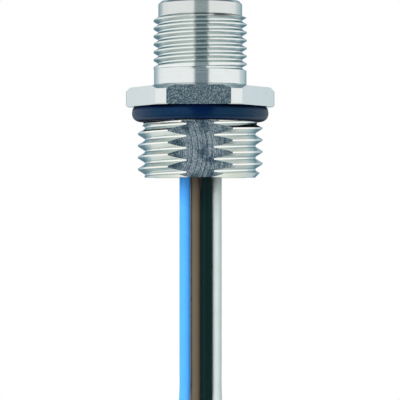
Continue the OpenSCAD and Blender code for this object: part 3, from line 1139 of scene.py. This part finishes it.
class PLUG_OT_wires(bpy.types.Operator):
    """Makes the four insulated wires with their stripped, tinned ends"""

    bl_idname = "plug.wires"
    bl_label = "Wires"

    def strand(self, name, start, length, width):
        """A twisted strand of seven fine wires that stands on a point."""
        fine = width / 6
        middle = primitive(
            name, bpy.ops.mesh.primitive_circle_add, vertices=FINE_SIDES, radius=fine
        )
        circles = [middle]
        for degrees in range(0, 360, 60):
            angle = math.radians(degrees)
            offset = Vector((math.cos(angle), math.sin(angle), 0)) * (2 * fine)
            circles.append(copy_of(middle, "fine_wire", offset))
        strand = joined(name, circles)
        wind(strand, STRAND_TWIST * length / MM, length, 1, STRAND_STEPS)
        cap_ends(strand, FINE_SIDES)
        move(strand, start)
        return strand

    def insulated(self, name, route, width):
        """A round wire along its route."""
        curve = bpy.data.curves.new(name, "CURVE")
        curve.dimensions = "3D"
        curve.resolution_u = WIRE_STEPS
        curve.bevel_depth = width / 2
        curve.bevel_resolution = WIRE_ROUNDING
        curve.use_fill_caps = True
        spline = curve.splines.new("BEZIER")
        spline.bezier_points.add(len(route) - 1)
        for point, place in zip(spline.bezier_points, route):
            point.co = place
            point.handle_left_type = point.handle_right_type = "AUTO"
        wire = bpy.data.objects.new(name, curve)
        bpy.context.collection.objects.link(wire)
        return wire

    def execute(self, context):
        sizes = context.scene.plug_wires
        insert = context.scene.plug_insert
        colours = context.scene.plug_colours
        hank = Hank(sizes, insert)
        cup_depth = insert.cup_end - insert.rear
        tin = tinned_strand(colours)
        for wire in WIRES:
            colour = wire.colour
            route = wire_route(wire, hank, insert)
            piece = self.insulated("insulated_" + colour, route, sizes.wire)
            finished(
                piece,
                insulation(colour + "_insulation", getattr(colours, colour)),
                colour + "_insulation",
                "wire_" + colour,
                "wire_hank",
            )
            soldered = self.strand(colour + "_soldered", route[0], cup_depth, sizes.strand)
            bare = self.strand(colour + "_bare", route[-1], sizes.bare_length, sizes.strand)
            ends = joined(colour + "_strand_ends", [bare, soldered])
            smooth(ends)
            finished(ends, tin, "tinned_strand", colour + "_conductor")
            Vector(wire.bend[-1]) * MM
        return {"FINISHED"}


# Half of the angle that one side of the hex takes up
HEX_HALF = math.radians(30)
# The flange's ring keeps this far from the bores and from the seat.
BORE_GAP = 0.6 * MM
SEAT_GAP = 0.25 * MM


class PLUG_OT_housing(bpy.types.Operator):
    """Makes the turned housing with its threads, hex flange, milled flat and bores"""

    bl_idname = "plug.housing"
    bl_label = "Housing"

    def blank(self, sizes):
        """The turned blank with its bores, without hex and threads."""
        rear, rim = HOUSING_LOW.z, HOUSING_HIGH.z
        panel, plug = sizes.panel_thread / 2, sizes.plug_thread / 2
        neck, nose, collar = sizes.neck / 2, sizes.nose / 2, sizes.collar / 2
        groove = SEAL_HIGH.x - (SEAL_HIGH.z - SEAL_LOW.z)
        core = (sizes.seat + sizes.hex_height) / 2
        bevel = sizes.collar_bevel
        lead = 0.25 * MM
        bore, rear_bore = sizes.plug_bore / 2, sizes.rear_bore / 2
        edge = sizes.bore_edge
        sunk = 0.02 * MM
        wall, fillet = 0.22 * MM, 0.2 * MM
        hollow = 0.3 * fillet
        corner = wall - sizes.neck_end
        profile = [
            (panel - sizes.end_chamfer, rear),
            (panel, rear + sizes.end_chamfer),
            (panel, -sizes.neck_end),
            (neck + fillet, corner),
            (neck + hollow, corner + hollow),
            (neck, corner + fillet),
            (neck, SEAL_LOW.z),
            (groove, SEAL_LOW.z),
            (groove, core),
            (collar - bevel - sunk, core),
            (collar - bevel - sunk, sizes.hex_height - sunk),
            (collar, sizes.hex_height + bevel),
            (collar, sizes.collar_top),
            (plug, sizes.collar_top + plug - collar),
            (plug, run_out(sizes)),
            (nose, run_out(sizes) + lead),
            (nose, rim - sizes.nose_chamfer),
            (nose - sizes.nose_chamfer, rim),
            (bore + edge, rim),
            (bore, rim - edge),
            (bore, sizes.seat),
            (rear_bore, sizes.seat),
            (rear_bore, rear + edge),
            (rear_bore + edge, rear),
        ]
        return turned("housing_turned", [*profile, profile[0]])

    def hex_prism(self, name, sizes, flats, height, turn=0.0):
        """A hex prism, centred on the flange's height."""
        return primitive(
            name,
            bpy.ops.mesh.primitive_cylinder_add,
            vertices=6,
            radius=flats / 2 / math.cos(HEX_HALF),
            depth=height,
            location=(0, 0, sizes.hex_height / 2),
            rotation=(0, 0, HEX_HALF + sizes.hex_turn + turn),
        )

    def hex_flange(self, sizes):
        """A hex ring with its corners turned off, chamfered and broken beside the flats."""
        height = sizes.hex_height
        flange = self.hex_prism("hex_flange", sizes, sizes.hex_flats, height)
        radius = sizes.hex_turned / 2
        over = 1 * MM
        lower_hole = sizes.rear_bore / 2 + BORE_GAP
        upper_hole = sizes.plug_bore / 2 + BORE_GAP
        step = sizes.seat + SEAT_GAP
        form = [
            (lower_hole, -over),
            (radius - sizes.hex_edge - over, -over),
            (radius, sizes.hex_edge),
            (radius, height - sizes.hex_chamfer),
            (radius - sizes.hex_chamfer - over, height + over),
            (upper_hole, height + over),
            (upper_hole, step),
            (lower_hole, step),
        ]
        boolean(flange, turned("corner_form", [*form, form[0]]), "INTERSECT")
        half_corner = math.acos(sizes.hex_flats / sizes.hex_turned)
        flat_end = radius * math.sin(half_corner) - sizes.edge_break
        lean = half_corner / 2
        flats = sizes.hex_flats * math.cos(lean) + 2 * flat_end * math.sin(lean)
        for turn in (lean, -lean):
            edges = self.hex_prism("edge_form", sizes, flats, 3 * height, turn)
            boolean(flange, edges, "INTERSECT")
        return flange

    def cut_thread(self, housing, crest, pitch, depth_share, root_share, first_root, turns, entry=None):
        """Cuts a helical V groove with a flat root. Its entry is given in turns from its start."""
        depth = depth_share * pitch
        half_root = root_share * pitch / 2
        half_mouth = pitch / 2 - half_root
        slope = (half_mouth - half_root) / depth
        root, outer = crest - depth, crest + PAST
        half_outer = half_root + slope * (outer - root)
        section = [
            (root, first_root - half_root),
            (outer, first_root - half_outer),
            (outer, first_root + half_outer),
            (root, first_root + half_root),
        ]
        tool = drawn_line("thread_tool", [*section, section[0]])
        wind(tool, 2 * math.pi, pitch, turns, TURN_STEPS)
        if entry:
            start, full = entry
            clear = depth + 0.1 * MM
            for vertex in tool.data.vertices:
                turn = vertex.index // len(section) / TURN_STEPS
                lift = clear * min(1.0, max(0.0, (full - turn) / (full - start)))
                vertex.co.xy += vertex.co.xy.normalized() * lift
        cap_ends(tool, len(section))
        boolean(housing, tool, "DIFFERENCE")

    def surfaces(self, housing, sizes, colours):
        """Gives the turned faces, the drawn flats and the milled flat their finishes."""
        near = 5 * MERGE

        def on_hex_flat(face):
            middle = face.calc_center_median()
            level = abs(face.normal.z) < 0.01
            outer = abs(middle.xy.dot(face.normal.xy) - sizes.hex_flats / 2) < near
            return level and outer and middle.z > 0

        def on_milled_flat(face):
            return face.normal.y < -0.999 and abs(face.calc_center_median().y + sizes.flat) < near

        finishes = (
            (turned_nickel(colours, sizes), lambda face: True),
            (drawn_nickel(colours, sizes), on_hex_flat),
            (milled_nickel(colours), on_milled_flat),
        )
        housing.data.materials.clear()
        for material, _ in finishes:
            housing.data.materials.append(material)
        with editing(housing):
            for index, (_, test) in enumerate(finishes):
                choose(housing, "FACE", test)
                housing.active_material_index = index
                bpy.ops.object.material_slot_assign()
                bpy.ops.mesh.region_to_loop()
                bpy.ops.mesh.mark_sharp()

    def execute(self, context):
        sizes = context.scene.plug_housing
        housing = self.blank(sizes)
        boolean(housing, self.hex_flange(sizes), "UNION")
        reach = sizes.panel_thread
        flat_tool = block(
            "flat_tool",
            (-reach, -sizes.flat - reach, HOUSING_LOW.z - reach),
            (reach, -sizes.flat, SEAL_LOW.z / 2),
        )
        boolean(housing, flat_tool, "DIFFERENCE")
        self.cut_thread(
            housing,
            crest=sizes.plug_thread / 2,
            pitch=sizes.plug_pitch,
            depth_share=0.57,
            root_share=0.18,
            first_root=sizes.plug_root - sizes.plug_pitch,
            turns=9,
            entry=(0.6, 1.0),
        )
        self.cut_thread(
            housing,
            crest=sizes.panel_thread / 2,
            pitch=sizes.panel_pitch,
            depth_share=0.59,
            root_share=0.125,
            first_root=-sizes.panel_root - 5 * sizes.panel_pitch,
            turns=6,
        )
        close_up(housing)
        self.surfaces(housing, sizes, context.scene.plug_colours)
        smooth(housing)
        finished(housing, None, "plated_brass", "housing")
        return {"FINISHED"}


# Share of the section's radius at which the seal lies against the flange
SEAL_SEAT = 0.94
# Half of the angle of the section that the moulding line takes up
FLASH_ANGLE = math.radians(4)
# Under 1, this fills the seal's outer corner below the flange.
SEAL_FILL = 0.4


class PLUG_OT_panel_seal(bpy.types.Operator):
    """Makes the seal ring with its moulding line and its seat against the flange"""

    bl_idname = "plug.panel_seal"
    bl_label = "Panel Seal"

    def execute(self, context):
        sizes = context.scene.plug_insert
        section = sizes.seal_section / 2
        middle = sizes.seal / 2 - section
        plain = section - sizes.seal_flash / 2
        seat = section * SEAL_SEAT
        seal = primitive(
            "seal_ring",
            bpy.ops.mesh.primitive_torus_add,
            major_radius=middle,
            minor_radius=plain,
            major_segments=160,
            minor_segments=48,
        )

        def on_line(vertex):
            return abs(math.atan2(vertex.co.z, vertex.co.xy.length - middle)) < FLASH_ANGLE

        with editing(seal):
            choose(seal, "VERT", on_line)
            grown = (sizes.seal / 2) / (middle + plain)
            bpy.ops.transform.resize(value=(grown, grown, 1))
            choose(seal, "VERT", lambda vertex: vertex.co.z > seat)
            bpy.ops.transform.resize(value=(1, 1, 0), center_override=(0, 0, seat))
        move(seal, (0, 0, -seat))
        for vertex in seal.data.vertices:
            reach = vertex.co.xy.length
            across = (reach - middle) / section
            if vertex.co.z > -seat and across > 0:
                vertex.co.xy *= (middle + section * min(1.0, across) ** SEAL_FILL) / reach
        smooth(seal)
        finished(seal, seal_rubber(context.scene.plug_colours), "blue_rubber", "panel_seal")
        return {"FINISHED"}


# Room between the carrier and its bores
CARRIER_GAP = 0.02 * MM
CARRIER_STEPS = 128
# Recess round a pin: radii below and above the face, and height of the tool
RECESS_LOW = 0.68 * MM
RECESS_HIGH = 0.92 * MM
RECESS_HEIGHT = 0.48 * MM


class PLUG_OT_contact_carrier(bpy.types.Operator):
    """Makes the moulded insulator with its coding key and the recesses of the pins"""

    bl_idname = "plug.contact_carrier"
    bl_label = "Contact Carrier"

    def execute(self, context):
        sizes = context.scene.plug_insert
        housing = context.scene.plug_housing
        bore = housing.plug_bore / 2 - CARRIER_GAP
        rim = housing.rear_bore / 2 - CARRIER_GAP
        edge = 0.2 * MM
        dimple = 0.5 * MM
        carrier = turned("insulator", [
            (0, sizes.face - edge),
            (dimple, sizes.face - edge),
            (dimple + edge, sizes.face),
            (bore - edge, sizes.face),
            (bore, sizes.face - edge),
            (bore, housing.seat),
            (rim, housing.seat),
            (rim, -sizes.rear),
            (0, -sizes.rear),
        ], CARRIER_STEPS)
        key = block(
            "coding_key",
            (bore - sizes.key_depth, -sizes.key_width / 2, housing.seat + edge),
            (bore - 2 * CARRIER_GAP, sizes.key_width / 2, sizes.pin_tip),
            0.12 * MM,
        )
        boolean(carrier, key, "UNION")
        for number in (1, 2, 3, 4):
            recess = primitive(
                "pin_recess",
                bpy.ops.mesh.primitive_cone_add,
                vertices=48,
                radius1=RECESS_LOW,
                radius2=RECESS_HIGH,
                depth=RECESS_HEIGHT,
                location=contact_place(sizes, number) + Vector((0, 0, sizes.face)),
            )
            boolean(carrier, recess, "DIFFERENCE")
        close_up(carrier)
        smooth(carrier)
        finished(
            carrier, moulded_black(context.scene.plug_colours), "black_moulding", "contact_carrier"
        )
        return {"FINISHED"}


PIN_STEPS = 40
PIN_ROUNDING = 0.3 * MM
PIN_ROUNDING_ANGLES = (90, 67.5, 45, 22.5, 0)


class PLUG_OT_contacts(bpy.types.Operator):
    """Makes the four turned contacts with rounded tips and solder cups"""

    bl_idname = "plug.contacts"
    bl_label = "Contacts"

    def execute(self, context):
        sizes = context.scene.plug_insert
        seat = context.scene.plug_housing.seat
        pin, cup = sizes.pin / 2, sizes.cup / 2
        strand = context.scene.plug_wires.strand / 2
        tip = [(0, sizes.pin_tip)]
        for degrees in PIN_ROUNDING_ANGLES:
            angle = math.radians(degrees)
            tip.append((
                pin + PIN_ROUNDING * (math.cos(angle) - 1),
                sizes.pin_tip + PIN_ROUNDING * (math.sin(angle) - 1),
            ))
        contact = turned("pin_contact", [
            *tip,
            (pin, seat),
            (cup, seat),
            (cup, -sizes.cup_end),
            (strand, -sizes.cup_end),
            (strand, -sizes.rear),
            (0, -sizes.rear),
        ], PIN_STEPS)
        smooth(contact)
        gold = gold_plate(context.scene.plug_colours)
        for number in (1, 2, 3, 4):
            made = copy_of(contact, f"pin_contact_{number}", contact_place(sizes, number))
            finished(made, gold, "gold_plate", f"contact_{number}")
        discard(contact)
        return {"FINISHED"}


POTTING_STEPS = 120
POTTING_RINGS = 36
POTTING_GAP = 0.01 * MM
# Distance over which the resin's creep falls off
CREEP = 0.22 * MM


class PLUG_OT_potting(bpy.types.Operator):
    """Makes the cast resin with its creep up the wall and round the wires"""

    bl_idname = "plug.potting"
    bl_label = "Potting"

    def execute(self, context):
        sizes = context.scene.plug_insert
        wall = context.scene.plug_housing.rear_bore / 2 - POTTING_GAP
        half_wire = context.scene.plug_wires.wire / 2
        face = HOUSING_LOW.z + sizes.potting_sink
        profile = [(wall * i / POTTING_RINGS, face) for i in range(POTTING_RINGS + 1)]
        profile += [(wall, -sizes.rear), (0, -sizes.rear)]
        potting = turned("potting_resin", profile, POTTING_STEPS)
        exits = [Vector(wire.bend[-1]) * MM for wire in WIRES]
        for vertex in potting.data.vertices:
            if vertex.co.z > face + MERGE:
                continue
            gaps = [(vertex.co.xy - place.xy).length - half_wire for place in exits]
            gaps.append(wall - vertex.co.xy.length)
            near = max(0.0, min(gaps))
            vertex.co.z -= sizes.meniscus * math.exp(-near / CREEP)
        smooth(potting)
        finished(potting, cast_resin(context.scene.plug_colours), "resin", "potting")
        return {"FINISHED"}


class PLUG_PT_panel(bpy.types.Panel):
    """Lists the plug's sizes, colours and steps"""

    bl_label = "Panel-Mount Round Plug"
    bl_idname = "PLUG_PT_panel"
    bl_space_type = "VIEW_3D"
    bl_region_type = "UI"
    bl_category = "Plug"

    def draw(self, context):
        for operator in OPERATORS:
            self.layout.operator(operator.bl_idname)
        for name in GROUPS:
            group = getattr(context.scene, name)
            box = self.layout.box()
            box.label(text=name.replace("_", " ").title())
            for key in group.bl_rna.properties.keys():
                if key not in ("name", "rna_type"):
                    box.prop(group, key)


GROUPS = {
    "plug_housing": PlugHousingSizes,
    "plug_insert": PlugInsertSizes,
    "plug_wires": PlugWireSizes,
    "plug_colours": PlugColours,
    "plug_stage": PlugStageSettings,
}
OPERATORS = (
    PLUG_OT_stage,
    PLUG_OT_hank_tie,
    PLUG_OT_wires,
    PLUG_OT_housing,
    PLUG_OT_panel_seal,
    PLUG_OT_contact_carrier,
    PLUG_OT_contacts,
    PLUG_OT_potting,
)


def register():
    for group in GROUPS.values():
        bpy.utils.register_class(group)
    for operator in OPERATORS:
        bpy.utils.register_class(operator)
    bpy.utils.register_class(PLUG_PT_panel)
    for name, group in GROUPS.items():
        setattr(bpy.types.Scene, name, bpy.props.PointerProperty(type=group))


def unregister():
    for name in GROUPS:
        delattr(bpy.types.Scene, name)
    bpy.utils.unregister_class(PLUG_PT_panel)
    for operator in reversed(OPERATORS):
        bpy.utils.unregister_class(operator)
    for group in reversed(GROUPS.values()):
        bpy.utils.unregister_class(group)


def main():
    register()
    bpy.ops.plug.stage()
    bpy.ops.plug.hank_tie()
    bpy.ops.plug.wires()
    bpy.ops.plug.housing()
    bpy.ops.plug.panel_seal()
    bpy.ops.plug.contact_carrier()
    bpy.ops.plug.contacts()
    bpy.ops.plug.potting()


if __name__ == "__main__":
    main()
